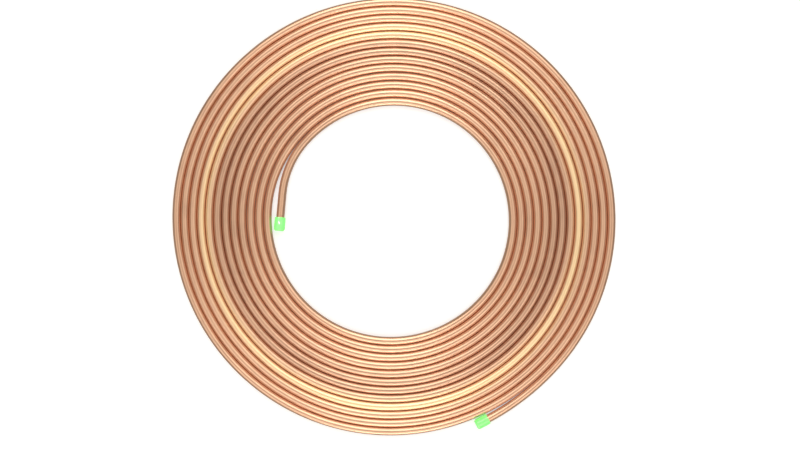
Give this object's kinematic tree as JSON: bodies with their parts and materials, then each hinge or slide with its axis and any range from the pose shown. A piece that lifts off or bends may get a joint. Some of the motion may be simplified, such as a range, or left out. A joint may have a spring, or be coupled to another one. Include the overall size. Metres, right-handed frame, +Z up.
{
  "type": "coil of copper tube",
  "caption": "Flat single-layer coil of soft copper tube, with a free inner end and a push-on plastic cap on each tube end.",
  "frame": {"origin": "under the middle of the coil, on the floor that it lies on", "axes": "+Z up, out of the flat coil; +X and +Y across it; the tube starts at its outer end, which points down and left seen from above, and winds inwards counter-clockwise"},
  "size_m": [0.5187, 0.512, 0.0134],
  "materials": {
    "copper": "satin",
    "cap_plastic": "gloss"
  },
  "bodies": {
    "root": {"copper_tube": "copper", "inner_end_cap": "cap_plastic", "outer_end_cap": "cap_plastic"}
  },
  "joints": []
}
